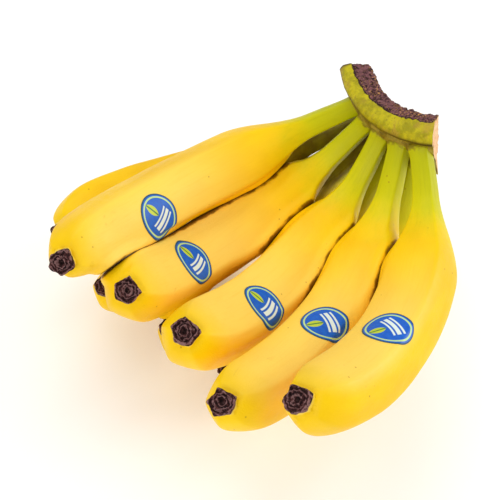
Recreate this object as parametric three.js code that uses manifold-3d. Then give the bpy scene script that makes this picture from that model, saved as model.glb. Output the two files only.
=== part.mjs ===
// A hand of nine bananas: five in the upper row, four in the row under it, all grown
// from one cut crown. It lies free on its bent fingers with the crown up.
// Millimetres, +Z up, origin at the middle of the base.

import * as THREE from 'three';
import { mergeVertices } from 'three/addons/utils/BufferGeometryUtils.js';
import Module from 'manifold-3d';

// ---------------------------------------------------------------- driving dimensions

// Stalks
const SEAT_RADIUS = 74;        // arc on which the stalks leave the crown
const SEAT_DEPTH = 7;          // how far each stalk runs on inside the arc, into the crown
const SEAT_CLEARANCE = 0.3;    // gap round a stalk in its socket
const STALK_BASE_RADIUS = 5.7; // stalk where it meets the crown
const STALK_RADIUS = 6.8;      // stalk just before the shoulder
const STALK_LENGTH = 24;       // crown to the start of the shoulder
const SHOULDER_LENGTH = 52;    // start of the shoulder to full girth

// Fruit ends
const TIP_RADIUS = 5.8;        // dried flower end
const TIP_LENGTH = 7;
const TIP_HOLLOW = 1.2;        // dish in the dried end
const TAPER_LENGTH = 60;       // gentle taper before the end
const TAPER_SHARE = 0.16;      // girth lost over the gentle taper
const ROUND_LENGTH = 26;       // rounded end down to the tip
const FRUIT_GAP = 0.3;         // least gap between two bananas

// Cross-section of the peel
const RIDGES = 5;              // long edges of the peel
const BODY_RIDGE = 0.022;      // ridge height as a share of the radius
const TIP_RIDGE = 0.07;        // the dried end is nearly five-sided

// Bend shared by each row
const STRAIGHT_LENGTH = 12;    // stalk that stays straight
const HOOK_SPAN = 38;          // extra bend near the tip
const UPPER_ROW = { name: 'banana_front', ease: 0.92, hook: 16 };
const LOWER_ROW = { name: 'banana_back', ease: 1.2, hook: 17 };

// Each banana, seen along the row. Degrees: seat is its place on the crown's arc, heading the
// way it leaves, lift the slope it starts with, curl the slope it reaches, roll the tilt of its
// bend, sway the drift to one side. Millimetres: rise above the crown's plane, length, girth.
const UPPER = [
  { seat: -22, rise: -3, heading: -38.5, lift: 22, curl: 84, roll: 29, sway: -5, length: 215, girth: 35 },
  { seat: -11, rise: -4.5, heading: -14, lift: -13.5, curl: 100, roll: 15.5, sway: -7, length: 216, girth: 37 },
  { seat: 0.5, rise: -4, heading: 6, lift: -13, curl: 99.5, roll: 8.5, sway: -15, length: 213, girth: 37.5 },
  { seat: 12, rise: -3.5, heading: 23.5, lift: -4.5, curl: 85, roll: 4, sway: -25, length: 220, girth: 35 },
  { seat: 23.5, rise: 0, heading: 43.5, lift: -1, curl: 89.5, roll: -10, sway: -23, length: 208, girth: 36.5 },
];
const LOWER = [
  { seat: -23.5, rise: -22.5, heading: -42, lift: 8, curl: 70.5, roll: 44, sway: -40.5, length: 207, girth: 35 },
  { seat: -11.5, rise: -23, heading: -23.5, lift: -21.5, curl: 95.5, roll: 5, sway: 10, length: 223, girth: 33.5 },
  { seat: 1, rise: -22.5, heading: -7, lift: -23, curl: 96.5, roll: -3, sway: 5, length: 206, girth: 34.5 },
  { seat: 13.5, rise: -22.5, heading: 3, lift: -28.5, curl: 91, roll: -19, sway: 17, length: 198, girth: 33.5 },
];

// Crown
const CROWN_TILT_X = 12;       // lean of the crown's plane against the fingers, degrees
const CROWN_TILT_Y = -12;
const CROWN_MARGIN_START = 13.5; // crown left beyond the first stalk, degrees of arc
const CROWN_MARGIN_END = 8;    // crown left beyond the last stalk
const END_SLANT = 0.16;        // the last end is cut back, degrees of arc per mm of depth
const LIP_RADIUS_START = 71.5; // lip of the crown, at the first banana's end
const LIP_RADIUS_END = 75;     // and at the last banana's end
const WALL_BEHIND_LIP = 1.5;   // outer wall inside the lip
const CROWN_ABOVE = 15.5;      // top of the crown above the upper stalks' mean rise
const CROWN_BELOW = 10;        // crown left under the lower stalks' mean rise
const CROWN_LIP_HEIGHT = 4;    // lip below the top
const BAND_WIDTH_START = 8;    // green top band at the first banana's end
const BAND_WIDTH_END = 13;     // green top band at the last banana's end
const CUT_RUN = 9;             // sloping part of the knife cut, inwards
const CUT_DROP = 8;            // sloping part of the knife cut, downwards

// Labels
const LABEL_LENGTH = 28;
const LABEL_WIDTH = 24;
const LABEL_THICKNESS = 0.25;
const LABEL_GAP = 0.4;         // air film between label and peel
const LABELS = [
  { along: 146, round: -14, turn: 55 },
  { along: 152, round: -8, turn: 75 },
  { along: 140, round: -26, turn: 80 },
  { along: 126, round: -10, turn: 40 },
  { along: 129, round: -18, turn: 35 },
];

// Rest: the hand tips forward onto the bend of its fingers
const REST_LEAN = 46.5;
const REST_TURN = -127;

// Mesh fineness
const ROUND_SEGMENTS = 20;
const RING_PITCH = 8;
const PATH_STEP = 1;
const CROWN_STEPS = 26;
const LABEL_SEGMENTS = 20;
const LABEL_RINGS = 3;

// Making room between bananas
const SPREAD_PITCH = 4;        // stations along each fruit
const SPREAD_STEP = 0.1;
const SPREAD_ROUNDS = 60;

// ---------------------------------------------------------------- helpers

const radians = THREE.MathUtils.degToRad;
const clamp01 = (value) => THREE.MathUtils.clamp(value, 0, 1);
const mean = (values) => values.reduce((sum, value) => sum + value, 0) / values.length;

const wasm = await Module();
wasm.setup();

const peel = new THREE.MeshStandardMaterial({ color: 0xf4cf23, roughness: 0.45, metalness: 0 });
const crownGreen = new THREE.MeshStandardMaterial({ color: 0xb6b41c, roughness: 0.6, metalness: 0 });
const labelBlue = new THREE.MeshStandardMaterial({ color: 0x1b6fc2, roughness: 0.35, metalness: 0 });

// Leaves a geometry with shared corners and only positions, so that it is one closed surface.
function weld(geometry) {
  const bare = geometry.clone();
  bare.deleteAttribute('normal');
  bare.deleteAttribute('uv');
  return mergeVertices(bare, 1e-4);
}

// Moves every corner of a geometry through place(x, y, z), which returns a Vector3.
function reshape(geometry, place) {
  const position = geometry.attributes.position;
  for (let i = 0; i < position.count; i += 1) {
    const moved = place(position.getX(i), position.getY(i), position.getZ(i));
    position.setXYZ(i, moved.x, moved.y, moved.z);
  }
  return weld(geometry);
}

function toSolid(geometry) {
  const vertProperties = new Float32Array(geometry.attributes.position.array);
  const triVerts = new Uint32Array(geometry.index.array);
  return new wasm.Manifold(new wasm.Mesh({ numProp: 3, vertProperties, triVerts }));
}

function toGeometry(solid) {
  const mesh = solid.getMesh();
  const geometry = new THREE.BufferGeometry();
  geometry.setAttribute('position', new THREE.BufferAttribute(mesh.vertProperties, 3));
  geometry.setIndex(new THREE.BufferAttribute(mesh.triVerts, 1));
  return geometry;
}

// ---------------------------------------------------------------- crown frame

const crownTilt = new THREE.Matrix4().makeRotationFromEuler(
  new THREE.Euler(radians(CROWN_TILT_X), radians(CROWN_TILT_Y), 0),
);

function onCrown(radius, angle, height) {
  return new THREE.Vector3(radius * Math.cos(angle), radius * Math.sin(angle), height)
    .applyMatrix4(crownTilt);
}

// ---------------------------------------------------------------- one banana's path

// The directions at a distance along the fruit: along it, inwards to the bend, and to the side.
function directionsAt(banana, row, distance) {
  const progress = clamp01((distance - STRAIGHT_LENGTH) / (banana.length - STRAIGHT_LENGTH));
  const nearTip = clamp01((distance - banana.length + HOOK_SPAN) / HOOK_SPAN);
  const slope = radians(
    banana.lift + (banana.curl - banana.lift) * progress ** row.ease + row.hook * nearTip ** 2,
  );
  const drift = radians(banana.sway) * progress * progress * (3 - 2 * progress);
  const heading = radians(banana.heading);
  const roll = radians(banana.roll);

  const outward = new THREE.Vector3(Math.cos(heading), Math.sin(heading), 0);
  const across = new THREE.Vector3(-Math.sin(heading), Math.cos(heading), 0);
  const up = new THREE.Vector3(0, 0, Math.cos(roll)).addScaledVector(across, Math.sin(roll));
  const level = across.multiplyScalar(Math.cos(roll)).add(new THREE.Vector3(0, 0, -Math.sin(roll)));

  const flat = outward.multiplyScalar(Math.cos(drift)).addScaledVector(level, Math.sin(drift));
  const along = flat.clone().multiplyScalar(Math.cos(slope)).addScaledVector(up, Math.sin(slope));
  const inward = flat.clone().multiplyScalar(-Math.sin(slope)).addScaledVector(up, Math.cos(slope));
  const side = new THREE.Vector3().crossVectors(along, inward);
  return { along, inward, side };
}

// Points every PATH_STEP along the fruit, from the crown's seat arc to the tip.
function tracePath(banana, row) {
  const seat = onCrown(SEAT_RADIUS, radians(banana.seat), banana.rise);
  const points = [seat];
  for (let distance = 0; distance < banana.length + PATH_STEP; distance += PATH_STEP) {
    const { along } = directionsAt(banana, row, distance + PATH_STEP / 2);
    points.push(points.at(-1).clone().addScaledVector(along, PATH_STEP));
  }
  return points;
}

// The middle of the fruit at a distance along it; below zero it runs straight into the crown.
function pointAt(path, banana, row, distance) {
  if (distance < 0) {
    return path[0].clone().addScaledVector(directionsAt(banana, row, 0).along, distance);
  }
  const step = Math.floor(distance / PATH_STEP);
  return path[step].clone().lerp(path[step + 1], distance / PATH_STEP - step);
}

// ---------------------------------------------------------------- one banana's peel

function stalkRadiusAt(distance) {
  const grown = clamp01((distance + SEAT_DEPTH) / (STALK_LENGTH + SEAT_DEPTH));
  return STALK_BASE_RADIUS + (STALK_RADIUS - STALK_BASE_RADIUS) * grown;
}

function peelRadiusAt(banana, distance) {
  const end = banana.length - TIP_LENGTH;
  const shoulder = clamp01((distance - STALK_LENGTH) / SHOULDER_LENGTH);
  const swell = shoulder * shoulder * (3 - 2 * shoulder);
  const stalk = stalkRadiusAt(distance);
  const taper = clamp01((distance - end + TAPER_LENGTH) / TAPER_LENGTH);
  const body = (stalk + (banana.girth / 2 - stalk) * swell) * (1 - TAPER_SHARE * taper * taper);
  const left = clamp01((end - distance) / ROUND_LENGTH);
  return TIP_RADIUS + (body - TIP_RADIUS) * Math.sqrt(1 - (1 - left) ** 2.3);
}

// Ridges are full on the body, fade into the stalk and sharpen again at the dried end.
function ridgeAt(banana, distance) {
  const body = clamp01((distance - STALK_LENGTH) / SHOULDER_LENGTH);
  const tip = clamp01((distance - banana.length + TIP_LENGTH + 4) / 4);
  return BODY_RIDGE * body + (TIP_RIDGE - BODY_RIDGE) * tip;
}

function peelProfile(banana) {
  const end = banana.length - TIP_LENGTH;
  const roundStart = end - ROUND_LENGTH;
  const rings = Math.round(roundStart / RING_PITCH);
  const profile = [new THREE.Vector2(0, -SEAT_DEPTH), new THREE.Vector2(STALK_BASE_RADIUS, -SEAT_DEPTH)];
  for (let i = 1; i <= rings; i += 1) {
    const distance = (roundStart * i) / rings;
    profile.push(new THREE.Vector2(peelRadiusAt(banana, distance), distance));
  }
  for (const share of [0.35, 0.6, 0.8, 0.92, 1]) {
    const distance = roundStart + ROUND_LENGTH * share;
    profile.push(new THREE.Vector2(peelRadiusAt(banana, distance), distance));
  }
  profile.push(new THREE.Vector2(TIP_RADIUS * 0.94, end + TIP_LENGTH * 0.4));
  profile.push(new THREE.Vector2(TIP_RADIUS, banana.length - 0.8));
  profile.push(new THREE.Vector2(TIP_RADIUS * 0.8, banana.length));
  profile.push(new THREE.Vector2(0, banana.length - TIP_HOLLOW));
  return profile;
}

// A straight lathe of the peel, ridged, then bent along the path.
function bananaGeometry(banana, row) {
  const path = tracePath(banana, row);
  const straight = new THREE.LatheGeometry(peelProfile(banana), ROUND_SEGMENTS);
  return reshape(straight, (x, y, z) => {
    const { inward, side } = directionsAt(banana, row, Math.max(y, 0));
    const ridge = 1 + ridgeAt(banana, y) * Math.cos(RIDGES * Math.atan2(x, z));
    return pointAt(path, banana, row, y)
      .addScaledVector(inward, z * ridge)
      .addScaledVector(side, x * ridge);
  });
}

// What the crown gives up for one stalk: the same stalk with its clearance.
function socketSolid(banana, row) {
  const path = tracePath(banana, row);
  const bottom = -SEAT_DEPTH - SEAT_CLEARANCE;
  const top = STALK_LENGTH;
  const profile = [
    new THREE.Vector2(0, bottom),
    new THREE.Vector2(STALK_BASE_RADIUS + SEAT_CLEARANCE, bottom),
    new THREE.Vector2(stalkRadiusAt(0) + SEAT_CLEARANCE, 0),
    new THREE.Vector2(stalkRadiusAt(top) + SEAT_CLEARANCE, top),
    new THREE.Vector2(0, top),
  ];
  const straight = new THREE.LatheGeometry(profile, ROUND_SEGMENTS);
  return toSolid(reshape(straight, (x, y, z) => {
    const { inward, side } = directionsAt(banana, row, Math.max(y, 0));
    return pointAt(path, banana, row, y).addScaledVector(inward, z).addScaledVector(side, x);
  }));
}

// ---------------------------------------------------------------- room for each other

// The closest approach of two bananas: the gap, where it is, and the way from one to the other.
function closestApproach(one, other) {
  let closest = { gap: Infinity };
  for (const a of one.stations) {
    for (const b of other.stations) {
      const gap = a.point.distanceTo(b.point) - a.radius - b.radius;
      if (gap < closest.gap) {
        closest = { gap, a, b };
      }
    }
  }
  return closest;
}

function measureStations(fruit) {
  const path = tracePath(fruit.banana, fruit.row);
  fruit.stations = [];
  for (let distance = -SEAT_DEPTH; distance <= fruit.banana.length; distance += SPREAD_PITCH) {
    const radius = peelRadiusAt(fruit.banana, distance);
    const point = pointAt(path, fruit.banana, fruit.row, distance);
    fruit.stations.push({ distance, radius, point });
  }
}

// Moves a banana by a small offset at one station: its seat gives way near the crown, and
// farther out it swings about its seat, in heading and in lift.
function nudge(fruit, station, offset) {
  const { banana } = fruit;
  const seatAngle = radians(banana.seat);
  const alongArc = new THREE.Vector3(-Math.sin(seatAngle), Math.cos(seatAngle), 0);
  const reach = station.point.clone().sub(fruit.stations[0].point);
  const flatReach = Math.max(Math.hypot(reach.x, reach.y), STALK_LENGTH);
  const turning = new THREE.Vector3(-reach.y, reach.x, 0).normalize();
  const slide = clamp01(1 - station.distance / STALK_LENGTH);
  banana.seat += (THREE.MathUtils.radToDeg(offset.dot(alongArc)) * slide) / SEAT_RADIUS;
  banana.rise += offset.z * slide;
  banana.heading += (THREE.MathUtils.radToDeg(offset.dot(turning)) * (1 - slide)) / flatReach;
  banana.lift += (THREE.MathUtils.radToDeg(offset.z) * (1 - slide)) / flatReach;
  banana.curl += (THREE.MathUtils.radToDeg(offset.z) * (1 - slide)) / flatReach;
}

function everyPair(fruits) {
  return fruits.flatMap((one, i) => fruits.slice(i + 1).map((other) => [one, other]));
}

// Fruit that is made thicker or longer pushes its neighbours aside, until all have their gap.
function makeRoom(fruits) {
  const pairs = everyPair(fruits);
  fruits.forEach(measureStations);
  let crowded = pairs.some(([one, other]) => closestApproach(one, other).gap < FRUIT_GAP);
  for (let round = 0; crowded && round < SPREAD_ROUNDS; round += 1) {
    crowded = false;
    for (const [one, other] of pairs) {
      const { gap, a, b } = closestApproach(one, other);
      const shortfall = FRUIT_GAP + BODY_RIDGE * (a.radius + b.radius) - gap;
      if (shortfall > 0) {
        crowded = true;
        const away = b.point.clone().sub(a.point).setLength(shortfall / 2 + SPREAD_STEP);
        nudge(other, b, away);
        nudge(one, a, away.negate());
        measureStations(one);
        measureStations(other);
      }
    }
  }
}

const fruits = [
  ...UPPER.map((banana) => ({ banana, row: UPPER_ROW })),
  ...LOWER.map((banana) => ({ banana, row: LOWER_ROW })),
];
makeRoom(fruits);

// ---------------------------------------------------------------- crown

// The crown's section: radius from the arc's centre across, height up. The outer wall carries
// the stalks, the lip overhangs them, and the knife cut slopes down the inner side.
function crownSection(lip, bandWidth) {
  const top = mean(UPPER.map((banana) => banana.rise)) + CROWN_ABOVE;
  const bottom = mean(LOWER.map((banana) => banana.rise)) - CROWN_BELOW;
  const wall = lip - WALL_BEHIND_LIP;
  const edge = lip - bandWidth;
  return [
    [wall - 3, bottom],
    [wall, bottom + 4],
    [wall, top - CROWN_LIP_HEIGHT - 3],
    [lip, top - CROWN_LIP_HEIGHT - 1],
    [lip - 0.5, top - CROWN_LIP_HEIGHT + 1.5],
    [lip - bandWidth * 0.4, top],
    [edge, top - 0.6],
    [edge - CUT_RUN, top - CUT_DROP],
    [edge - CUT_RUN + 2, bottom + 3],
    [edge - CUT_RUN + 5, bottom],
  ];
}

function crownGeometry() {
  const seats = [...UPPER, ...LOWER].map((banana) => banana.seat);
  const startAngle = Math.min(...seats) - CROWN_MARGIN_START;
  const endAngle = Math.max(...seats) + CROWN_MARGIN_END;
  const startSection = crownSection(LIP_RADIUS_START, BAND_WIDTH_START);
  const endSection = crownSection(LIP_RADIUS_END, BAND_WIDTH_END);
  const top = Math.max(...endSection.map(([, height]) => height));
  const outline = new THREE.Shape(endSection.map(([x, y]) => new THREE.Vector2(x, y)));
  const straight = new THREE.ExtrudeGeometry(outline, { depth: 1, steps: CROWN_STEPS, bevelEnabled: false });
  const padded = reshape(straight, (x, y, share) => {
    const corner = endSection.findIndex(([cx, cy]) => Math.hypot(cx - x, cy - y) < 1e-3);
    const radius = THREE.MathUtils.lerp(endSection[corner][0], startSection[corner][0], share);
    const slanted = endAngle - END_SLANT * (top - y);
    const angle = THREE.MathUtils.lerp(slanted, startAngle, share);
    return onCrown(radius, radians(angle), y);
  });
  let solid = toSolid(padded);
  for (const { banana, row } of fruits) {
    solid = solid.subtract(socketSolid(banana, row));
  }
  return toGeometry(solid);
}

// ---------------------------------------------------------------- labels

// A thin oval, laid on the peel: its own length and width run along and round the fruit.
function labelGeometry(banana, row, label) {
  const path = tracePath(banana, row);
  const profile = [];
  for (let ring = 0; ring <= LABEL_RINGS; ring += 1) {
    profile.push(new THREE.Vector2(ring / LABEL_RINGS, 0));
  }
  for (let ring = LABEL_RINGS; ring >= 0; ring -= 1) {
    profile.push(new THREE.Vector2(ring / LABEL_RINGS, LABEL_THICKNESS));
  }
  const turn = radians(label.turn);
  const disc = new THREE.LatheGeometry(profile, LABEL_SEGMENTS);
  return reshape(disc, (x, y, z) => {
    const longWay = (z * LABEL_LENGTH) / 2;
    const shortWay = (-x * LABEL_WIDTH) / 2;
    const distance = label.along + longWay * Math.cos(turn) - shortWay * Math.sin(turn);
    const arc = longWay * Math.sin(turn) + shortWay * Math.cos(turn);
    const skin = peelRadiusAt(banana, distance) * (1 + BODY_RIDGE);
    const angle = radians(label.round) + arc / skin;
    const { inward, side } = directionsAt(banana, row, distance);
    const lift = skin + LABEL_GAP + y;
    return pointAt(path, banana, row, distance)
      .addScaledVector(inward, lift * Math.cos(angle))
      .addScaledVector(side, lift * Math.sin(angle));
  });
}

// ---------------------------------------------------------------- the hand

const hand = new THREE.Group();
hand.rotation.set(0, radians(REST_LEAN), 0);

function addPiece(name, geometry, material) {
  const mesh = new THREE.Mesh(geometry, material);
  mesh.name = name;
  hand.add(mesh);
}

addPiece('crown', crownGeometry(), crownGreen);
UPPER.forEach((banana, i) => {
  addPiece(`${UPPER_ROW.name}_${i + 1}`, bananaGeometry(banana, UPPER_ROW), peel);
  addPiece(`label_${i + 1}`, labelGeometry(banana, UPPER_ROW, LABELS[i]), labelBlue);
});
LOWER.forEach((banana, i) => {
  addPiece(`${LOWER_ROW.name}_${i + 1}`, bananaGeometry(banana, LOWER_ROW), peel);
});

// Turned to face the front and set down on its lowest point, over the middle of its base.
const turned = new THREE.Group();
turned.rotation.set(0, 0, radians(REST_TURN));
turned.add(hand);

const bunch = new THREE.Group();
bunch.add(turned);
bunch.updateMatrixWorld(true);
const box = new THREE.Box3().setFromObject(bunch, true);
turned.position.set(-(box.min.x + box.max.x) / 2, -(box.min.y + box.max.y) / 2, -box.min.z);

export default bunch;
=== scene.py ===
# Looks for a hand of nine bananas on one cut crown. The fruit's shapes follow the same
# formulas as the CAD source, with finer detail. The hand is worked out in millimetres in its
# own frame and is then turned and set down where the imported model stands, in metres.

import math

import bpy
import numpy as np
from mathutils import Matrix, Vector, noise
from mathutils.kdtree import KDTree


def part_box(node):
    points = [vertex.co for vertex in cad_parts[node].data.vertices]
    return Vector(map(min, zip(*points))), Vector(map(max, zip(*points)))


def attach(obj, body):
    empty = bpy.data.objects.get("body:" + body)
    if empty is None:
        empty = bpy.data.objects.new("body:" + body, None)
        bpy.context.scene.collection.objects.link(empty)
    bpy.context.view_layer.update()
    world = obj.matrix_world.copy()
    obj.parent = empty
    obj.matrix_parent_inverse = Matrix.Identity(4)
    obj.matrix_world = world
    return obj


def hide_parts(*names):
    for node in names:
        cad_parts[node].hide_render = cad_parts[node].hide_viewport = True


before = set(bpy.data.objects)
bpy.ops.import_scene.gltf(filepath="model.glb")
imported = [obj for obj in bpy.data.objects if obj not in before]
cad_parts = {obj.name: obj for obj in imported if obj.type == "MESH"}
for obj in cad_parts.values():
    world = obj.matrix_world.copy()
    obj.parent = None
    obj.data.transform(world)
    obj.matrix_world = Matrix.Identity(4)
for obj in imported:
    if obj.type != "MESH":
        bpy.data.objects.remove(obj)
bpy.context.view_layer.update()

MM = 0.001

# ---------------------------------------------------------------- the hand, as in the CAD

SEAT_RADIUS = 74.0
SEAT_DEPTH = 7.0
STALK_BASE_RADIUS = 5.7
STALK_RADIUS = 6.8
STALK_LENGTH = 24.0
SHOULDER_LENGTH = 52.0
TIP_RADIUS = 5.8
TIP_LENGTH = 7.0
TAPER_LENGTH = 60.0
TAPER_SHARE = 0.16
ROUND_LENGTH = 26.0
CAD_RIDGE = 0.022
STRAIGHT_LENGTH = 12.0
HOOK_SPAN = 38.0
UPPER_ROW = {"name": "banana_front", "ease": 0.92, "hook": 16}
LOWER_ROW = {"name": "banana_back", "ease": 1.2, "hook": 17}

# seat, rise, heading, lift, curl, roll, sway, length, girth
SHAPE_KEYS = ("seat", "rise", "heading", "lift", "curl", "roll", "sway", "length", "girth")
UPPER = (
    (-22, -3, -38.5, 22, 84, 29, -5, 215, 35),
    (-11, -4.5, -14, -13.5, 100, 15.5, -7, 216, 37),
    (0.5, -4, 6, -13, 99.5, 8.5, -15, 213, 37.5),
    (12, -3.5, 23.5, -4.5, 85, 4, -25, 220, 35),
    (23.5, 0, 43.5, -1, 89.5, -10, -23, 208, 36.5),
)
LOWER = (
    (-23.5, -22.5, -42, 8, 70.5, 44, -40.5, 207, 35),
    (-11.5, -23, -23.5, -21.5, 95.5, 5, 10, 223, 33.5),
    (1, -22.5, -7, -23, 96.5, -3, 5, 206, 34.5),
    (13.5, -22.5, 3, -28.5, 91, -19, 17, 198, 33.5),
)

CROWN_TILT_X = 12
CROWN_TILT_Y = -12
CROWN_MARGIN_START = 13.5
CROWN_MARGIN_END = 8
END_SLANT = 0.16
LIP_RADIUS_START = 71.5
LIP_RADIUS_END = 75
WALL_BEHIND_LIP = 1.5
CROWN_ABOVE = 15.5
CROWN_BELOW = 10
CROWN_LIP_HEIGHT = 4
BAND_WIDTH_START = 8
BAND_WIDTH_END = 13
CUT_RUN = 9
CUT_DROP = 8

LABEL_LENGTH = 28.0
LABEL_WIDTH = 24.0
LABEL_THICKNESS = 0.25
LABEL_GAP = 0.4
LABELS = ((146, -14, 55), (152, -8, 75), (140, -26, 80), (126, -10, 40), (129, -18, 35))

REST_LEAN = 46.5
REST_TURN = -127

# ---------------------------------------------------------------- looks of the fruit

# The long edges of the peel, in degrees round the fruit from the inside of its bend. The
# inner face is the widest. Each fruit's edges are shifted and twisted a little, on some front
# fruits so that they fold the label less.
EDGES = (-47, 54, 121, 184, 247)
EDGE_SHIFT = {
    "banana_front_1": -4,
    "banana_front_2": -6,
    "banana_front_3": -8,
    "banana_front_4": 4,
    "banana_front_5": -9,
    "banana_back_1": -8,
    "banana_back_2": 5,
    "banana_back_3": -3,
    "banana_back_4": 9,
}
EDGE_WIDTH = 15.0
EDGE_HEIGHT = 0.052

# How far each part goes from round to five flat facets, and how sharp the corners are.
BODY_FACETS = 0.42
STALK_FACETS = 0.5
NUB_FACETS = 0.85
FACET_SHARPNESS = 26.0
FACET_HALF = 39.0

STALK_IN_CROWN = 3.0
# How much painted shade, brown and dull, lies on the lower row's stalks deep between the upper ones.
PAINTED_STALK_SHADE = {
    "banana_back_1": 0.9,
    "banana_back_2": 0.9,
    "banana_back_3": 0.35,
    "banana_back_4": 0.1,
}

BODY_PITCH = 1.2
NUB_PITCH = 0.3
ROUND_STEPS = 96


def clamp01(value):
    return np.clip(value, 0.0, 1.0)


def smooth(value):
    value = clamp01(value)
    return value * value * (3 - 2 * value)


def rotation(axis, degrees):
    return np.array(Matrix.Rotation(math.radians(degrees), 3, axis))


CROWN_TILT = rotation("X", CROWN_TILT_X) @ rotation("Y", CROWN_TILT_Y)
AT_REST = rotation("Z", REST_TURN) @ rotation("Y", REST_LEAN)


def on_crown(radius, angle, height):
    flat = np.stack(np.broadcast_arrays(radius * np.cos(angle), radius * np.sin(angle), height), -1)
    return flat @ CROWN_TILT.T


def facets(angle):
    """The radius of a five-sided section with its corners near EDGES, which are 1 out."""
    total = np.zeros(np.shape(angle))
    for number, start in enumerate(EDGES):
        end = EDGES[(number + 1) % len(EDGES)]
        half = ((end - start) % 360) / 2
        middle = math.radians(start + half)
        half = min(half, FACET_HALF)
        facing = np.cos(angle - middle) / math.cos(math.radians(half))
        total = total + np.maximum(facing, 0.0) ** FACET_SHARPNESS
    return total ** (-1 / FACET_SHARPNESS)


FACET_MEAN = facets(np.linspace(0, 2 * math.pi, 720, endpoint=False)).mean()


def crown_share(angle):
    """0 at the crown's first end, 1 at its last, from the angle on its arc."""
    start = math.radians(min(row[0] for row in UPPER + LOWER) - CROWN_MARGIN_START)
    end = math.radians(max(row[0] for row in UPPER + LOWER) + CROWN_MARGIN_END)
    return clamp01((angle - start) / (end - start))


def wall_radius(angle):
    lip = LIP_RADIUS_START + (LIP_RADIUS_END - LIP_RADIUS_START) * crown_share(angle)
    return lip - WALL_BEHIND_LIP


class Fruit:
    """One banana: its numbers, its row and the points that its middle runs through."""

    def __init__(self, name, row, numbers):
        self.name = name
        self.row = row
        for key, value in zip(SHAPE_KEYS, numbers):
            setattr(self, key, value)
        self.seat_point = on_crown(SEAT_RADIUS, math.radians(self.seat), self.rise)
        middles = np.arange(0.0, self.length + 1) + 0.5
        steps = self.directions(middles)[0]
        self.path = np.vstack([self.seat_point, self.seat_point + np.cumsum(steps, 0)])

    def directions(self, distance):
        """Unit vectors along the fruit, inwards to its bend and to its side."""
        distance = np.maximum(np.asarray(distance, float), 0)
        progress = clamp01((distance - STRAIGHT_LENGTH) / (self.length - STRAIGHT_LENGTH))
        near_tip = clamp01((distance - self.length + HOOK_SPAN) / HOOK_SPAN)
        bend = (self.curl - self.lift) * progress ** self.row["ease"]
        slope = np.radians(self.lift + bend + self.row["hook"] * near_tip**2)[..., None]
        drift = np.radians(self.sway) * smooth(progress)[..., None]
        heading = math.radians(self.heading)
        roll = math.radians(self.roll)
        outward = np.array([math.cos(heading), math.sin(heading), 0])
        across = np.array([-math.sin(heading), math.cos(heading), 0])
        lifted = np.array([0, 0, 1])
        up = lifted * math.cos(roll) + across * math.sin(roll)
        level = across * math.cos(roll) - lifted * math.sin(roll)
        flat = outward * np.cos(drift) + level * np.sin(drift)
        along = flat * np.cos(slope) + up * np.sin(slope)
        inward = up * np.cos(slope) - flat * np.sin(slope)
        return along, inward, np.cross(along, inward)

    def middle(self, distance):
        distance = np.asarray(distance, float)
        stations = np.arange(len(self.path))
        held = np.maximum(distance, 0)
        spots = np.stack([np.interp(held, stations, self.path[:, k]) for k in range(3)], -1)
        start = self.directions(0.0)[0]
        return spots + start * np.minimum(distance, 0)[..., None]

    def leaves_crown(self):
        """How far along the fruit its middle comes out of the crown's wall."""
        distance = np.linspace(-SEAT_DEPTH, 4, 120)
        flat = self.middle(distance) @ CROWN_TILT
        out = np.hypot(flat[:, 0], flat[:, 1])
        wall = wall_radius(np.arctan2(flat[:, 1], flat[:, 0]))
        return distance[np.argmax(out > wall)]

    def radius(self, distance):
        """The plain radius of the peel, as in the CAD."""
        end = self.length - TIP_LENGTH
        grown = clamp01((distance + SEAT_DEPTH) / (STALK_LENGTH + SEAT_DEPTH))
        stalk = STALK_BASE_RADIUS + (STALK_RADIUS - STALK_BASE_RADIUS) * grown
        swell = smooth((distance - STALK_LENGTH) / SHOULDER_LENGTH)
        taper = clamp01((distance - end + TAPER_LENGTH) / TAPER_LENGTH)
        body = stalk + (self.girth / 2 - stalk) * swell
        body = body * (1 - TAPER_SHARE * taper * taper)
        left = clamp01((end - distance) / ROUND_LENGTH)
        return TIP_RADIUS + (body - TIP_RADIUS) * np.sqrt(1 - (1 - left) ** 2.3)

    def edge_shift(self, distance):
        return EDGE_SHIFT[self.name] + self.row["ease"] * 6 * (distance / self.length)

    def edge(self, distance, angle, width):
        """0 on the flat faces of the peel, 1 on its long edges."""
        total = np.zeros(np.broadcast(distance, angle).shape)
        shift = self.edge_shift(distance)
        for degrees in EDGES:
            off = angle - np.radians(degrees + shift)
            off = (off + math.pi) % (2 * math.pi) - math.pi
            total = total + np.exp(-0.5 * (off / np.radians(width)) ** 2)
        return total

    def skin(self, distance, angle):
        """The radius of the peel with its edges."""
        to_tip = self.length - TIP_LENGTH - distance
        neck = 1 - smooth((distance - STALK_LENGTH) / SHOULDER_LENGTH)
        nub = 1 - smooth(to_tip / 7)
        edge = self.edge(distance, angle, EDGE_WIDTH)
        mean = np.radians(EDGE_WIDTH) * math.sqrt(2 * math.pi) * len(EDGES) / (2 * math.pi)
        rounded = 1 + EDGE_HEIGHT * (edge - mean)
        turned = angle - np.radians(self.edge_shift(distance))
        share = BODY_FACETS + (STALK_FACETS - BODY_FACETS) * neck
        share = share + (NUB_FACETS - share) * nub
        return self.radius(distance) * (rounded + (facets(turned) / FACET_MEAN - rounded) * share)

    def surface(self, distance, angle, radius):
        _, inward, side = self.directions(distance)
        out = inward * np.cos(angle)[..., None] + side * np.sin(angle)[..., None]
        return self.middle(distance) + out * np.asarray(radius)[..., None]


fruits = {}
for row, rows in ((UPPER_ROW, UPPER), (LOWER_ROW, LOWER)):
    for number, numbers in enumerate(rows, 1):
        name = f"{row['name']}_{number}"
        fruits[name] = Fruit(name, row, numbers)


# ---------------------------------------------------------------- where the hand stands


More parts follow.
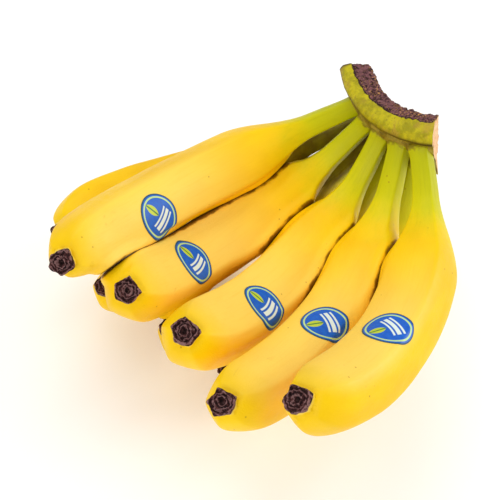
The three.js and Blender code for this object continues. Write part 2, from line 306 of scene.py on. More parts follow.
def label_spot(label, share, angle):
    """Share 0 to 1 from a label's middle, angle round it: mm along the fruit and mm round it."""
    along, _, turn_degrees = label
    turn = math.radians(turn_degrees)
    long_way = share * np.cos(angle) * LABEL_LENGTH / 2
    short_way = -share * np.sin(angle) * LABEL_WIDTH / 2
    distance = along + long_way * math.cos(turn) - short_way * math.sin(turn)
    arc = long_way * math.sin(turn) + short_way * math.cos(turn)
    return distance, arc


def cad_label(fruit, label, share, angle, height):
    """A point of the CAD label, in the hand's frame."""
    distance, arc = label_spot(label, share, angle)
    skin = fruit.radius(distance) * (1 + CAD_RIDGE)
    around = math.radians(label[1]) + arc / skin
    return fruit.surface(distance, around, skin + LABEL_GAP + height)


def find_place():
    """How far the hand is moved after its turn, from where the CAD labels are."""
    found = []
    for number, label in enumerate(LABELS, 1):
        fruit = fruits[f"banana_front_{number}"]
        angle = np.radians(np.arange(0, 360, 18))
        rim = cad_label(fruit, label, np.ones(20), angle, 0)
        rim = np.vstack([rim, cad_label(fruit, label, np.ones(20), angle, LABEL_THICKNESS)])
        turned = rim @ AT_REST.T
        low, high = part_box(f"label_{number}")
        low = np.array(low) / MM
        high = np.array(high) / MM
        found.append((low + high - turned.min(0) - turned.max(0)) / 2)
    return np.median(found, axis=0)


PLACE = find_place()


def to_world(points):
    return (points @ AT_REST.T + PLACE) * MM


# ---------------------------------------------------------------- mesh helpers


def ripple(points, scale, octaves=3, seed=0.0):
    """Smooth noise about zero at each point, with features about scale across."""
    flat = (np.reshape(points, (-1, 3)) / scale + seed).tolist()
    values = [noise.fractal(Vector(p), 0.9, 2.1, octaves) for p in flat]
    return np.reshape(values, np.shape(points)[:-1])


def new_mesh(name, points, faces, attributes, materials):
    mesh = bpy.data.meshes.new(name)
    mesh.from_pydata(points.reshape(-1, 3).tolist(), [], faces)
    for key, values in attributes.items():
        attribute = mesh.attributes.new(key, "FLOAT_VECTOR", "POINT")
        attribute.data.foreach_set("vector", np.asarray(values, np.float32).ravel())
    mesh.validate()
    mesh.update()
    mesh.polygons.foreach_set("use_smooth", [True] * len(mesh.polygons))
    for material in materials:
        mesh.materials.append(material)
    piece = bpy.data.objects.new(name, mesh)
    bpy.context.scene.collection.objects.link(piece)
    return piece


def ring_faces(rings, steps):
    faces = []
    for ring in range(rings - 1):
        low = ring * steps
        for step in range(steps):
            after = (step + 1) % steps
            faces.append((low + step, low + after, low + steps + after, low + steps + step))
    return faces


def fan(centre, first, steps, flip):
    faces = []
    for step in range(steps):
        after = (step + 1) % steps
        pair = (first + after, first + step) if flip else (first + step, first + after)
        faces.append((centre, *pair))
    return faces


# ---------------------------------------------------------------- materials


class Graph:
    """Short ways to build a node material."""

    def __init__(self, name):
        self.material = bpy.data.materials.new(name)
        self.material.use_nodes = True
        self.tree = self.material.node_tree
        self.tree.nodes.clear()
        self.output = self.tree.nodes.new("ShaderNodeOutputMaterial")
        self.shader = self.tree.nodes.new("ShaderNodeBsdfPrincipled")
        self.link(self.shader.outputs[0], self.output.inputs["Surface"])

    def link(self, source, target):
        self.tree.links.new(source, target)

    def put(self, value, socket):
        if hasattr(value, "node"):
            self.link(value, socket)
        elif hasattr(value, "__len__") and len(socket.default_value) == 4:
            socket.default_value = (*value[:3], 1.0)
        else:
            socket.default_value = value

    def attribute(self, name):
        node = self.tree.nodes.new("ShaderNodeAttribute")
        node.attribute_name = name
        return node.outputs["Vector"]

    def split(self, vector):
        node = self.tree.nodes.new("ShaderNodeSeparateXYZ")
        self.put(vector, node.inputs[0])
        return node.outputs

    def stretch(self, vector, scale, offset=(0, 0, 0)):
        node = self.tree.nodes.new("ShaderNodeMapping")
        self.put(vector, node.inputs["Vector"])
        node.inputs["Scale"].default_value = scale
        node.inputs["Location"].default_value = offset
        return node.outputs[0]

    def noise(self, vector, scale, detail=3.0, rough=0.5, warp=0.0):
        node = self.tree.nodes.new("ShaderNodeTexNoise")
        self.put(vector, node.inputs["Vector"])
        node.inputs["Scale"].default_value = scale
        node.inputs["Detail"].default_value = detail
        node.inputs["Roughness"].default_value = rough
        node.inputs["Distortion"].default_value = warp
        return node.outputs["Fac"]

    def cells(self, vector, scale):
        node = self.tree.nodes.new("ShaderNodeTexVoronoi")
        self.put(vector, node.inputs["Vector"])
        node.inputs["Scale"].default_value = scale
        return node.outputs["Distance"]

    def maths(self, operation, first, second=0.0):
        node = self.tree.nodes.new("ShaderNodeMath")
        node.operation = operation
        self.put(first, node.inputs[0])
        self.put(second, node.inputs[1])
        return node.outputs[0]

    def span(self, value, low, high, out_low=0.0, out_high=1.0, soft=True):
        node = self.tree.nodes.new("ShaderNodeMapRange")
        node.interpolation_type = "SMOOTHSTEP" if soft else "LINEAR"
        node.clamp = True
        self.put(value, node.inputs["Value"])
        node.inputs["From Min"].default_value = low
        node.inputs["From Max"].default_value = high
        node.inputs["To Min"].default_value = out_low
        node.inputs["To Max"].default_value = out_high
        return node.outputs["Result"]

    def mix(self, share, first, second):
        node = self.tree.nodes.new("ShaderNodeMix")
        node.data_type = "RGBA"
        node.clamp_factor = True
        self.put(share, node.inputs[0])
        self.put(first, node.inputs[6])
        self.put(second, node.inputs[7])
        return node.outputs[2]

    def bump(self, height, distance, below=None):
        node = self.tree.nodes.new("ShaderNodeBump")
        node.inputs["Distance"].default_value = distance
        self.put(height, node.inputs["Height"])
        if below is not None:
            self.link(below, node.inputs["Normal"])
        return node.outputs[0]


def srgb(red, green, blue):
    """A colour as read from a picture, 0 to 255, in linear light."""
    out = []
    for value in (red, green, blue):
        share = value / 255
        out.append(share / 12.92 if share <= 0.04045 else ((share + 0.055) / 1.055) ** 2.4)
    return tuple(out)


def peel_material():
    """place: the spot in the straightened fruit, mm. reach: mm out of the crown, mm to the
    start of the dried end, and mm to the next fruit. painted_stalk_shade: 0 to 1, painted shade deep
    between stalks."""
    g = Graph("banana_peel")
    place = g.attribute("place")
    from_crown, to_nub, to_next = g.split(g.attribute("reach"))
    inner, sideways, _ = g.split(place)
    painted_stalk_shade, _, _ = g.split(g.attribute("painted_stalk_shade"))

    patches = g.noise(g.stretch(place, (1, 1, 0.45)), 0.055, 2.0)
    colour = g.mix(g.span(patches, 0.35, 0.65), srgb(246, 194, 2), srgb(253, 205, 6))
    # Painted highlight: the inner face of each fruit is made lighter and whiter, more so towards its tip,
    # where the lamps' soft sheen falls.
    painted_highlight = g.maths("MULTIPLY", g.span(inner, 4, 17, 0, 0.64), g.span(from_crown, 60, 135))
    colour = g.mix(painted_highlight, colour, srgb(255, 220, 116))
    streaks = g.noise(g.stretch(place, (1, 1, 0.06)), 0.9, 3.0)
    colour = g.mix(g.span(streaks, 0.45, 0.8, 0, 0.14), colour, srgb(236, 178, 2))

    # green of the stalk, fading over the shoulder
    wander = g.span(g.noise(place, 0.06, 2.0), 0, 1, -11, 11, soft=False)
    reached = g.maths("ADD", from_crown, wander)
    green = g.span(reached, 26, 68, 1, 0)
    colour = g.mix(green, colour, srgb(212, 204, 0))
    deep = g.span(reached, 4, 46, 0.7, 0)
    colour = g.mix(deep, colour, srgb(170, 176, 0))
    veins = g.noise(g.stretch(place, (1, 1, 0.07)), 0.55, 3.0)
    veins = g.maths("MULTIPLY", g.span(veins, 0.45, 0.75, 0, 0.22), green)
    colour = g.mix(veins, colour, srgb(158, 158, 0))

    # greenish ring at the blossom end
    near_nub = g.span(g.maths("ADD", to_nub, wander), 0, 24, 0.4, 0)
    colour = g.mix(near_nub, colour, srgb(226, 192, 6))

    # small brown specks and a few larger faint marks
    spots = g.cells(place, 0.16)
    chosen = g.span(g.noise(place, 0.05, 1.0), 0.56, 0.66)
    speck = g.maths("MULTIPLY", g.span(spots, 0.05, 0.11, 0.55, 0), chosen)
    colour = g.mix(speck, colour, srgb(150, 96, 14))
    marks = g.noise(g.stretch(place, (1, 1, 0.3), (7, 3, 1)), 0.12, 4.0, 0.6, 0.8)
    colour = g.mix(g.span(marks, 0.68, 0.78, 0, 0.25), colour, srgb(190, 136, 24))

    # painted shade, dark brown, where two fruits press together and the gap between them is narrow, with a
    # little bruising
    uneven = g.span(g.noise(place, 0.12, 3.0), 0.3, 0.7, -0.5, 0.5)
    pressed = g.span(g.maths("ADD", to_next, uneven), 0.5, 1.7, 0.88, 0)
    colour = g.mix(pressed, colour, srgb(108, 64, 4))
    # Painted shade: the lower row's stalks are made brown and dull where they lie deep between the upper
    # ones.
    between = g.span(g.noise(place, 0.1, 3.0), 0.3, 0.7, 0.8, 1)
    between = g.maths("MULTIPLY", painted_stalk_shade, between)
    colour = g.mix(between, colour, srgb(84, 56, 8))

    # tan corky skin where the stalk leaves the crown, partly painted shade in the joint
    cork_and_shade = g.maths("ADD", from_crown, g.span(g.noise(place, 0.35, 3.0), 0, 1, -3, 3))
    colour = g.mix(g.span(cork_and_shade, -1.2, 1.6, 0.7, 0), colour, srgb(118, 88, 26))

    # the dried end: a thin pale line where the peel stops, then rings of crust
    rough_line = g.span(g.noise(place, 0.25, 2.0, 0.5), 0.2, 0.8, 1.9, 3.1, soft=False)
    line = g.maths("ADD", to_nub, rough_line)
    colour = g.mix(g.span(line, 0.3, 2.6, 0.6, 0), colour, srgb(240, 214, 110))
    crust = g.noise(place, 0.5, 5.0, 0.65, 0.6)
    squares = g.maths("ADD", g.maths("MULTIPLY", inner, inner), g.maths("MULTIPLY", sideways, sideways))
    from_middle = g.maths("SQRT", squares)
    wavy = g.span(g.noise(place, 0.28, 3.0, 0.6), 0.2, 0.8, -1.7, 1.7, soft=False)
    rings = g.maths("COSINE", g.maths("MULTIPLY", g.maths("ADD", from_middle, wavy), 3.1))
    dried = g.mix(g.span(crust, 0.4, 0.62), srgb(30, 12, 14), srgb(92, 52, 50))
    dried = g.mix(g.span(rings, 0.25, 0.95, 0, 0.75), dried, srgb(150, 112, 110))
    dried = g.mix(g.span(rings, -0.95, -0.5, 0.8, 0), dried, srgb(26, 10, 12))
    dried = g.mix(g.span(from_middle, 0.5, 1.8, 0.85, 0), dried, srgb(24, 10, 8))
    dried = g.mix(g.span(crust, 0.64, 0.76, 0, 0.6), dried, srgb(184, 150, 132))
    is_dried = g.span(line, -0.15, 0.35, 1, 0)
    colour = g.mix(is_dried, colour, dried)

    g.put(colour, g.shader.inputs["Base Color"])
    sheen = g.span(g.noise(place, 0.25, 4.0), 0.3, 0.7, 0.4, 0.5)
    crusty = g.maths("MULTIPLY", is_dried, 0.85)
    g.link(g.maths("MAXIMUM", sheen, crusty), g.shader.inputs["Roughness"])
    g.shader.inputs["Specular IOR Level"].default_value = 0.16

    pores = g.noise(g.stretch(place, (1, 1, 0.5)), 1.1, 3.0)
    grain = g.noise(g.stretch(place, (1, 1, 0.08)), 1.6, 3.0)
    normal = g.bump(pores, 0.00012)
    normal = g.bump(grain, 0.00010, below=normal)
    hard = g.maths("MULTIPLY", crust, is_dried)
    normal = g.bump(hard, 0.0008, below=normal)
    g.link(normal, g.shader.inputs["Normal"])
    return g.material


def crown_material():
    """place: mm in the hand's frame. zone: mm into the knife cut, then crease_shade, painted shade under
    the lip, and the wall below it, 0 to 1, tan corky skin with painted shade. ends: 1 on the last end,
    which gets a painted highlight, and 1 on the dark first end."""
    g = Graph("banana_crown")
    place = g.attribute("place")
    cut, crease_shade, below = g.split(g.attribute("zone"))
    painted_highlight_end, dark_end, _ = g.split(g.attribute("ends"))

    mottle = g.noise(place, 0.16, 4.0, 0.6)
    skin = g.mix(g.span(mottle, 0.36, 0.62), srgb(160, 150, 0), srgb(198, 184, 8))
    tan = g.noise(place, 0.10, 3.0, 0.55, 0.5)
    skin = g.mix(g.span(tan, 0.52, 0.66, 0, 0.6), skin, srgb(180, 146, 48))
    flecks = g.noise(place, 0.55, 3.0, 0.6)
    skin = g.mix(g.span(flecks, 0.62, 0.72, 0, 0.6), skin, srgb(112, 84, 26))
    # The wall under the lip, between the stalks: tan corky skin, partly painted shade.
    corky_and_shaded = g.mix(g.span(mottle, 0.38, 0.62), srgb(126, 106, 22), srgb(172, 152, 52))
    skin = g.mix(below, skin, corky_and_shaded)
    # Painted shade in the groove under the lip, with the same dark colour along the band's first end.
    ragged_crease_shade = g.maths("MULTIPLY", crease_shade, g.span(flecks, 0.3, 0.6, 0.9, 1))
    skin = g.mix(ragged_crease_shade, skin, srgb(48, 24, 4))

    fibre = g.noise(g.stretch(place, (1, 1, 0.5)), 0.45, 5.0, 0.65, 0.8)
    flesh = g.mix(g.span(fibre, 0.4, 0.6), srgb(44, 20, 26), srgb(124, 80, 84))
    specks = g.noise(place, 0.9, 3.0, 0.6)
    patchy = g.span(g.noise(place, 0.07, 2.0), 0.4, 0.6, 0.25, 1)
    specks = g.maths("MULTIPLY", g.span(specks, 0.54, 0.64, 0, 0.9), patchy)
    flesh = g.mix(specks, flesh, srgb(214, 158, 84))
    uneven = g.span(g.noise(place, 0.35, 4.0), 0.2, 0.8, -0.7, 0.7, soft=False)
    ragged = g.maths("ADD", cut, uneven)
    colour = g.mix(g.span(ragged, -0.1, 0.1), skin, flesh)
    outline = g.span(g.maths("ABSOLUTE", g.maths("SUBTRACT", ragged, 0.2)), 0.15, 0.7, 0.9, 0)
    colour = g.mix(outline, colour, srgb(38, 20, 12))

    # Painted highlight: the last cut end is made light peach, as the right lamp lights it.
    painted_highlight = g.mix(g.span(fibre, 0.35, 0.65), srgb(226, 164, 104), srgb(246, 204, 152))
    colour = g.mix(painted_highlight_end, colour, painted_highlight)
    grey = g.mix(g.span(fibre, 0.35, 0.6), srgb(112, 94, 72), srgb(148, 132, 106))
    colour = g.mix(dark_end, colour, grey)

    g.put(colour, g.shader.inputs["Base Color"])
    g.link(g.span(cut, -0.3, 0.3, 0.55, 0.9), g.shader.inputs["Roughness"])
    g.shader.inputs["Specular IOR Level"].default_value = 0.25
    normal = g.bump(fibre, 0.0009)
    normal = g.bump(mottle, 0.0005, below=normal)
    g.link(normal, g.shader.inputs["Normal"])
    return g.material


def label_material():
    """place: across the label, -1 to 1 on its long and short axes."""
    g = Graph("label_paper")
    place = g.attribute("place")
    across, up, _ = g.split(place)

    def from_spot(right, above):
        aside = g.maths("SUBTRACT", across, right)
        beyond = g.maths("SUBTRACT", up, above)
        squares = g.maths("ADD", g.maths("MULTIPLY", aside, aside), g.maths("MULTIPLY", beyond, beyond))
        return g.maths("SQRT", squares)

    far = from_spot(0.0, 0.0)
    fine = g.noise(place, 6.0, 4.0)
    colour = g.mix(g.span(fine, 0.3, 0.7), srgb(0, 84, 188), srgb(0, 98, 202))
    leaf = g.span(g.maths("MAXIMUM", from_spot(0.44, 0.26), from_spot(0.44, -0.26)), 0.44, 0.47, 1, 0)
    vein = g.span(g.maths("ABSOLUTE", up), 0.02, 0.05, 1, 0)
    colour = g.mix(leaf, colour, srgb(190, 206, 50))
    colour = g.mix(g.maths("MULTIPLY", vein, leaf), colour, srgb(60, 120, 60))
    curve = g.maths("SUBTRACT", across, g.maths("MULTIPLY", g.maths("MULTIPLY", up, up), 0.25))
    for low, high in ((-0.12, -0.04), (-0.36, -0.2), (-0.52, -0.44)):
        stripe = g.maths("MULTIPLY", g.span(curve, low, low + 0.03), g.span(curve, high, high + 0.03, 1, 0))
        short = g.span(g.maths("ABSOLUTE", up), 0.52, 0.56, 1, 0)
        colour = g.mix(g.maths("MULTIPLY", stripe, short), colour, srgb(222, 234, 226))
    ring = g.maths("MULTIPLY", g.span(far, 0.80, 0.83), g.span(far, 0.87, 0.90, 1, 0))
    colour = g.mix(ring, colour, srgb(190, 222, 140))
    colour = g.mix(g.span(far, 0.93, 0.96), colour, srgb(14, 78, 112))
    g.put(colour, g.shader.inputs["Base Color"])
    g.link(g.span(fine, 0.3, 0.7, 0.36, 0.46), g.shader.inputs["Roughness"])
    g.shader.inputs["Specular IOR Level"].default_value = 0.35
    g.link(g.bump(fine, 0.00005), g.shader.inputs["Normal"])
    return g.material


# ---------------------------------------------------------------- bananas

# The dried end in section: share of its radius, and millimetres before the fruit's end.
NUB = (
    (1.00, 7.0),
    (0.97, 5.6),
    (0.99, 4.2),
    (1.03, 2.8),
    (1.07, 1.5),
    (1.06, 0.7),
    (0.99, 0.2),
    (0.90, 0.1),
    (0.82, 0.9),
    (0.74, 1.5),
    (0.66, 1.1),
    (0.56, 0.3),
    (0.46, 0.2),
    (0.38, 0.8),
    (0.28, 1.7),
    (0.14, 2.2),
)


def banana_rings(fruit):
    """Distance along the fruit, share of the skin's radius and share of crust, ring by ring."""
    nub_start = fruit.length - TIP_LENGTH
    start = fruit.leaves_crown() - STALK_IN_CROWN
    rings = [(start, 0.35, 0.0), (start, 0.7, 0.0)]
    body = np.arange(start, nub_start - ROUND_LENGTH / 3, BODY_PITCH)
    rings += [(distance, 1.0, 0.0) for distance in body]
    fine = np.arange(body[-1] + 0.6, nub_start - 0.1, 0.6)
    rings += [(distance, 1.0, 0.0) for distance in fine]
    outline = np.array(NUB)
    lengths = np.hypot(np.diff(outline[:, 0]) * TIP_RADIUS, np.diff(outline[:, 1]))
    travelled = np.concatenate([[0], np.cumsum(lengths)])
    for at in np.arange(0, travelled[-1], NUB_PITCH):
        share = np.interp(at, travelled, outline[:, 0])
        before_end = np.interp(at, travelled, outline[:, 1])
        rings.append((fruit.length - before_end, share, 1.0))
    return np.array(rings)


# Fruits press together: a peel this near its neighbour is pushed out to meet it half way.
PRESS_NEAR = 4.4
PRESS_FAR = 9.0
PRESS_MOST = 3.4


def make_neighbours(fruit):
    """A search tree over the middles of the other fruits, and their radii."""
    stations = []
    fruit.near_radii = []
    for other in fruits.values():
        if other is not fruit:
            distance = np.arange(-SEAT_DEPTH, other.length - TIP_LENGTH, 2.0)
            stations += list(other.middle(distance))
            fruit.near_radii += list(other.radius(distance))
    fruit.near_tree = KDTree(len(stations))
    for number, spot in enumerate(stations):
        fruit.near_tree.insert(Vector(spot), number)
    fruit.near_tree.balance()


def crowding(fruit, points):
    """Millimetres from each point to the nearest peel of another banana."""
    gaps = []
    for spot in points.reshape(-1, 3).tolist():
        found = fruit.near_tree.find_n(spot, 8)
        gaps.append(min(far - fruit.near_radii[number] for _, number, far in found))
    return np.reshape(gaps, points.shape[:-1])


def pressed_radius(fruit, distance, angle, share):
    """The peel's radius with its shallow dents, and pushed out where it meets a neighbour."""
    skin = fruit.skin(distance, angle)
    straight = np.stack([skin * np.cos(angle), skin * np.sin(angle), distance], -1)
    dents = ripple(straight, 34.0, 2, SEEDS[fruit.name]) * 0.45
    radius = skin + dents * smooth((distance - 10) / 60)
    gaps = crowding(fruit, fruit.surface(distance, angle, radius))
    pressed = 1 - smooth((gaps - PRESS_NEAR) / (PRESS_FAR - PRESS_NEAR))
    pressed = pressed * smooth((distance - STALK_LENGTH) / 20) * share
    push = np.clip(gaps / 2 - 0.1, -0.6, PRESS_MOST) * pressed
    return radius + push, push


def make_banana(fruit, material):
    rings = banana_rings(fruit)
    distance = rings[:, 0:1]
    share = rings[:, 1:2]
    dried = rings[:, 2:3]
    angle = np.linspace(0, 2 * math.pi, ROUND_STEPS, endpoint=False)[None, :]
    distance = distance + 0 * angle
    angle = angle + 0 * distance
    out_of_crown = distance - fruit.leaves_crown()
    flare = 1.3 * np.exp(-np.abs(out_of_crown) / 2.2)
    plain, push = pressed_radius(fruit, distance, angle, 1 - dried)
    straight = np.stack([plain * np.cos(angle), plain * np.sin(angle), distance], -1)
    crust = ripple(straight, 2.6, 4, SEEDS[fruit.name] + 5) * dried
    ragged = ripple(straight, 7.0, 2, SEEDS[fruit.name] + 9) * dried
    radius = (plain + flare + ragged * 0.9) * share + crust * 0.45
    distance = distance + crust * np.where(share < 0.98, 0.8, 0.3)
    place = np.stack([radius * np.cos(angle), radius * np.sin(angle), distance], -1)
    to_nub = fruit.length - TIP_LENGTH - distance
    to_nub = np.where(dried > 0, np.minimum(to_nub, 0), to_nub)
    points = fruit.surface(distance, angle, radius)
    reach = np.stack([out_of_crown, to_nub, crowding(fruit, points) - push], -1)

    count = len(rings)
    total = count * ROUND_STEPS
    start = rings[0, 0]
    ends = fruit.middle(np.array([start, fruit.length - 2.3]))
    points = np.vstack([points.reshape(-1, 3), ends])
    place = np.vstack([place.reshape(-1, 3), [[0, 0, start], [0, 0, fruit.length - 2.3]]])
    reach = np.vstack([reach.reshape(-1, 3), [[-3, fruit.length, 9], [fruit.length, -5, 9]]])
    place = place + np.array([0, 0, 300.0 * SEEDS[fruit.name]])
    faces = ring_faces(count, ROUND_STEPS)
    faces += fan(total, 0, ROUND_STEPS, True)
    faces += fan(total + 1, total - ROUND_STEPS, ROUND_STEPS, False)
    faces = [face[::-1] for face in faces]
    # Painted shade on the upper side of the lower row's stalks, fading out away from the crown.
    lower = PAINTED_STALK_SHADE.get(fruit.name, 0.0)
    from_middle = np.maximum(np.hypot(place[:, :1], place[:, 1:2]), 0.01)
    facing_up = smooth((place[:, :1] / from_middle + 0.1) / 0.7)
    painted_stalk_shade = lower * facing_up * (1 - smooth((reach[:, :1] - 40) / 35)) * np.array([1, 0, 0])
    attributes = {"place": place, "reach": reach, "painted_stalk_shade": painted_stalk_shade}
    points = to_world(points)
    points[:, 2] = np.maximum(points[:, 2], 0)
    piece = new_mesh(f"{fruit.name}_peel", points, faces, attributes, [material])
    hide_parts(fruit.name)
    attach(piece, "root")
    return piece


# ---------------------------------------------------------------- crown

# The last end is cut a little aslant: degrees of arc per mm towards the inside, and more
# of it, per mm inwards and per mm down, under the lip.
END_SKEW = 0.08
END_TWIST = 0.008
# The painted shade in the groove under the green band, mm: how far above the lip it lies, its width, and
# the width of the dark line round the first end.
CREASE_ABOVE_LIP = 0.6
CREASE_WIDTH = 1.5
START_LINE_WIDTH = 1.1
# The rings that close a cut end, as shares of its outline.
END_INSETS = (0.92, 0.8, 0.65, 0.5, 0.35, 0.2)
# How far the knife cut is torn, the skin is lumpy and the wall swells at each stalk, mm.
TORN = 1.1
LUMPS = 0.35
STALK_SWELL = 1.8
CROWN_STEPS = 230
SECTION_STEPS = 170


def crown_levels():
    rises = [numbers[1] for numbers in UPPER]
    low_rises = [numbers[1] for numbers in LOWER]
    top = sum(rises) / len(rises) + CROWN_ABOVE
    bottom = sum(low_rises) / len(low_rises) - CROWN_BELOW
    return top, bottom


def crown_section(lip, band_width):
    """The CAD section, softened: radius and height, then 1 where the knife cut it."""
    top, bottom = crown_levels()
    wall = lip - WALL_BEHIND_LIP
    under = top - CROWN_LIP_HEIGHT
    edge = lip - band_width
    return np.array([
        (wall - 3, bottom, 0),
        (wall, bottom + 4, 0),
        (wall, under - 4.6, 0),
        (wall - 1.2, under - 3.2, 0),
        (wall - 1.0, under - 2.4, 0),
        (lip, under - 1, 0),
        (lip - 0.3, under + 1.5, 0),
        (lip - band_width * 0.4, top, 0),
        (edge, top - 0.6, 0),
        (edge - 0.4, top - 0.9, 1),
        (edge - CUT_RUN, top - CUT_DROP, 1),
        (edge - CUT_RUN + 2, bottom + 3, 1),
        (edge - CUT_RUN + 5, bottom, 1),
    ])


def resample(section, count):
    closed = np.vstack([section, section[:1]])
    lengths = np.hypot(np.diff(closed[:, 0]), np.diff(closed[:, 1]))
    travelled = np.concatenate([[0], np.cumsum(lengths)])
    at = np.linspace(0, travelled[-1], count, endpoint=False)
    return np.stack([np.interp(at, travelled, closed[:, k]) for k in range(3)], -1)


def distance_from_cut_edge(rows):
    """Millimetres along each section from where the cut starts, above zero inside it."""
    steps = np.linalg.norm(rows[:, 1:, :2] - rows[:, :-1, :2], axis=-1)
    travelled = np.concatenate([np.zeros((len(rows), 1)), np.cumsum(steps, 1)], 1)
    starts = np.argmax(rows[..., 2] > 0.5, 1)
    from_edge = travelled - travelled[np.arange(len(rows)), starts][:, None]
    return np.where(rows[..., 2] > 0.5, np.maximum(from_edge, 0.05), from_edge)


def make_crown(material):
    seats = [fruit.seat for fruit in fruits.values()]
    start = min(seats) - CROWN_MARGIN_START
    end = max(seats) + CROWN_MARGIN_END
    top, _ = crown_levels()
    first = crown_section(LIP_RADIUS_START, BAND_WIDTH_START)
    last = crown_section(LIP_RADIUS_END, BAND_WIDTH_END)
    count = SECTION_STEPS
    share = np.linspace(0, 1, CROWN_STEPS)[:, None, None]
    rows = resample(first, count)[None] * (1 - share) + resample(last, count)[None] * share
    for _ in range(2):
        softened = (np.roll(rows, 1, 1) + np.roll(rows, -1, 1) + 2 * rows) / 4
        rows = np.concatenate([softened[..., :2], rows[..., 2:]], -1)
    radius = rows[..., 0]
    height = rows[..., 1]
    cut = rows[..., 2]
    from_edge = distance_from_cut_edge(rows)
    share = share[..., 0]
    inside = np.maximum(LIP_RADIUS_END - 1 - radius, 0)
    skew = END_SKEW * np.minimum(inside, BAND_WIDTH_END)
    skew = skew + END_TWIST * inside * np.maximum(top - CROWN_LIP_HEIGHT - height, 0)
    slanted = end - END_SLANT * (top - height) - skew
    angle = np.radians(start + (slanted - start) * share)
    wall = LIP_RADIUS_START + (LIP_RADIUS_END - LIP_RADIUS_START) * share - WALL_BEHIND_LIP
    points = on_crown(radius, angle + 0 * radius, height)

    # Which way is out of the section at each of its points.
    before = np.roll(rows[..., :2], 1, 1)
    after = np.roll(rows[..., :2], -1, 1)
    tangent = after - before
    tangent /= np.linalg.norm(tangent, axis=-1, keepdims=True) + 1e-9
    out_radius = tangent[..., 1]
    out_height = -tangent[..., 0]
    lumps = ripple(points, 9.0, 3, 2.0) * LUMPS
    torn = ripple(points, 3.2, 4, 9.0) * TORN * smooth((cut - 0.3) / 0.5)
    move = lumps + torn
    swell = np.zeros_like(radius)
    for fruit in fruits.values():
        stations = fruit.middle(fruit.leaves_crown() + np.linspace(-3, 6, 10))
        gap = np.min(np.linalg.norm(points[..., None, :] - stations, axis=-1), -1)
        swell = np.maximum(swell, smooth(1 - (gap - 6.0) / 5.0))
    on_wall = smooth((radius - wall + 1.5) / 1.2) * smooth((5.5 - height) / 2.0)
    move = move + STALK_SWELL * swell * on_wall
    radius = radius + out_radius * move
    height = height + out_height * move
    points = on_crown(radius, angle + 0 * radius, height)

    # Colour zones: painted shade in the groove under the lip, and a dark line along the band's first end;
    # on the wall below the lip, tan corky skin with painted shade.
    outside = (radius > wall - 3.5) * (1 - smooth((cut - 0.1) / 0.3))
    outwards = rows[..., 0] - wall - WALL_BEHIND_LIP
    upwards = rows[..., 1] - top + CROWN_LIP_HEIGHT - CREASE_ABOVE_LIP
    from_corner = np.hypot(outwards, upwards)
    crease_shade = np.exp(-((from_corner / CREASE_WIDTH) ** 2)) * outside
    from_start = (angle - math.radians(start)) * radius
    on_band = (1 - smooth((cut - 0.1) / 0.3)) * (height > top - CROWN_LIP_HEIGHT - 1)
    crease_shade = np.maximum(crease_shade, np.exp(-((from_start / START_LINE_WIDTH) ** 2)) * on_band)
    below = smooth((top - CROWN_LIP_HEIGHT - 2.8 - height) / 0.6) * outside
    zone = np.stack([from_edge, crease_shade, below], -1)

    ring = points.reshape(-1, 3)
    faces = ring_faces(CROWN_STEPS, count)
    zones = [zone.reshape(-1, 3)]
    ends = [np.zeros((len(ring), 3))]
    all_points = [ring]
    offset = len(ring)
    # The last end is marked (1, 0, 0) for its painted highlight, the first (0, 1, 0) for its dark grey.
    for index, flip, kind in ((0, True, (0, 1, 0)), (CROWN_STEPS - 1, False, (1, 0, 0))):
        outline = points[index]
        middle = outline.mean(0)
        previous = index * count
        for inset in END_INSETS:
            layer = middle + (outline - middle) * inset
            layer = layer + ripple(layer, 3.0, 3, 4.0)[:, None] * 0.15
            all_points.append(layer)
            zones.append(np.tile((-9.0, 0, 0), (count, 1)))
            ends.append(np.tile(kind, (count, 1)))
            for step in range(count):
                after = (step + 1) % count
                quad = (previous + step, previous + after, offset + after, offset + step)
                faces.append(quad if flip else quad[::-1])
            previous = offset
            offset += count
        all_points.append(middle[None])
        zones.append(np.array([(-9.0, 0, 0)]))
        ends.append(np.array([kind]))
        faces += fan(offset, previous, count, not flip)
        offset += 1
    points = np.vstack(all_points)
    zones = np.vstack(zones)
    attributes = {"place": points, "zone": zones, "ends": np.vstack(ends)}
    piece = new_mesh("crown_cut", to_world(points), faces, attributes, [material])
    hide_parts("crown")
    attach(piece, "root")
    return piece


# ---------------------------------------------------------------- labels

# Glue under the paper, mm.
GLUE = 0.08
LABEL_RINGS = 16
LABEL_STEPS = 96


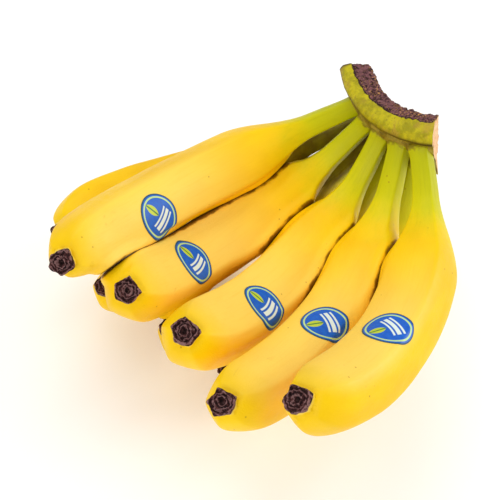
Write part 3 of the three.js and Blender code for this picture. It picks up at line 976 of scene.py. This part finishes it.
def make_label(number, material):
    fruit = fruits[f"banana_front_{number}"]
    label = LABELS[number - 1]
    shares = np.linspace(0, 1, LABEL_RINGS + 1)[1:]
    tops = [(share, LABEL_THICKNESS) for share in shares]
    tops[-1] = (0.993, LABEL_THICKNESS)
    tops += [(1.0, LABEL_THICKNESS * 0.6), (1.0, 0.0)]
    bottoms = [(share, 0.0) for share in shares[::-1][1:]]
    rings = np.array(tops + bottoms)
    share = rings[:, 0:1]
    height = rings[:, 1:2]
    angle = np.linspace(0, 2 * math.pi, LABEL_STEPS, endpoint=False)[None, :]

    def lay(share, angle, height):
        distance, arc = label_spot(label, share, angle)
        around = math.radians(label[1]) + arc / fruit.radius(distance)
        peel, _ = pressed_radius(fruit, distance, around, 1.0)
        return fruit.surface(distance, around, peel + GLUE + height)

    points = lay(share, angle, height + 0 * angle).reshape(-1, 3)
    middle = np.zeros(1)
    centre = lay(middle, middle, np.array([LABEL_THICKNESS]))
    under = lay(middle, middle, middle)
    count = len(rings)
    total = count * LABEL_STEPS
    points = np.vstack([points, centre, under])
    place = np.stack([share * np.cos(angle), share * np.sin(angle), 0 * angle * share], -1)
    place = np.vstack([place.reshape(-1, 3), [[0, 0, 0], [0, 0, 0]]])
    faces = ring_faces(count, LABEL_STEPS)
    faces += fan(total, 0, LABEL_STEPS, True)
    faces += fan(total + 1, total - LABEL_STEPS, LABEL_STEPS, False)
    piece = new_mesh(f"label_{number}_paper", to_world(points), faces, {"place": place}, [material])
    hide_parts(f"label_{number}")
    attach(piece, "root")
    return piece


SEEDS = {name: 1.0 + 2.7 * number for number, name in enumerate(fruits)}
peel = peel_material()
for fruit in fruits.values():
    make_neighbours(fruit)
for name, fruit in fruits.items():
    make_banana(fruit, peel)
make_crown(crown_material())
label_look = label_material()
for number in range(1, 6):
    make_label(number, label_look)


# ---------------------------------------------------------------- floor, light and camera


def make_floor():
    g = Graph("floor_paper")
    spot = g.tree.nodes.new("ShaderNodeTexCoord").outputs["Object"]
    grain = g.noise(spot, 40.0, 3.0)
    g.put(g.mix(grain, (0.88, 0.88, 0.88), (0.90, 0.90, 0.90)), g.shader.inputs["Base Color"])
    g.shader.inputs["Roughness"].default_value = 0.9
    g.shader.inputs["Emission Color"].default_value = (1, 1, 1, 1)
    g.shader.inputs["Emission Strength"].default_value = 0.14
    half = 2.5
    corners = np.array([(-half, -half, 0), (half, -half, 0), (half, half, 0), (-half, half, 0)])
    floor = new_mesh("floor", corners, [(0, 1, 2, 3)], {}, [g.material])


def add_light(name, place, aim, size, power, colour):
    data = bpy.data.lights.new(name, "AREA")
    data.shape = "RECTANGLE"
    data.size = size[0]
    data.size_y = size[1]
    data.energy = power
    data.color = colour
    lamp = bpy.data.objects.new(name, data)
    lamp.location = place
    lamp.rotation_euler = (Vector(aim) - Vector(place)).to_track_quat("-Z", "Y").to_euler()
    bpy.context.scene.collection.objects.link(lamp)


def light_scene():
    world = bpy.data.worlds.new("studio")
    world.use_nodes = True
    background = world.node_tree.nodes["Background"]
    background.inputs["Color"].default_value = (1, 1, 1, 1)
    background.inputs["Strength"].default_value = 0.56
    bpy.context.scene.world = world
    middle = (0, 0, 0.06)
    add_light("top_light", (-0.35, 0.35, 1.1), middle, (0.9, 0.9), 5.2, (1, 0.99, 0.97))
    add_light("right_light", (0.95, 0.25, 0.45), middle, (0.5, 0.5), 4.5, (1, 0.98, 0.95))
    add_light("front_light", (-0.3, -1.0, 0.7), middle, (0.8, 0.6), 5.5, (1, 1, 1))


CAMERA_FROM_PLACE = (-101.993, -492.406, 325.653)
CAMERA_RIGHT = (0.98519, 0.12070, 0.12179)
CAMERA_UP = (-0.17132, 0.72257, 0.66973)
CAMERA_LENS = 73.43
SENSOR = 36.0


def make_camera():
    data = bpy.data.cameras.new("camera")
    data.lens = CAMERA_LENS
    data.sensor_width = SENSOR
    data.clip_start = 0.01
    camera = bpy.data.objects.new("camera", data)
    right = Vector(CAMERA_RIGHT).normalized()
    back = right.cross(Vector(CAMERA_UP)).normalized()
    up = back.cross(right)
    turn = Matrix((right, up, back)).transposed().to_4x4()
    spot = Vector(PLACE + np.array(CAMERA_FROM_PLACE)) * MM
    camera.matrix_world = Matrix.Translation(spot) @ turn
    bpy.context.scene.collection.objects.link(camera)
    bpy.context.scene.camera = camera


make_floor()
light_scene()
make_camera()
bpy.context.scene.view_settings.view_transform = "Standard"
bpy.context.scene.view_settings.look = "None"
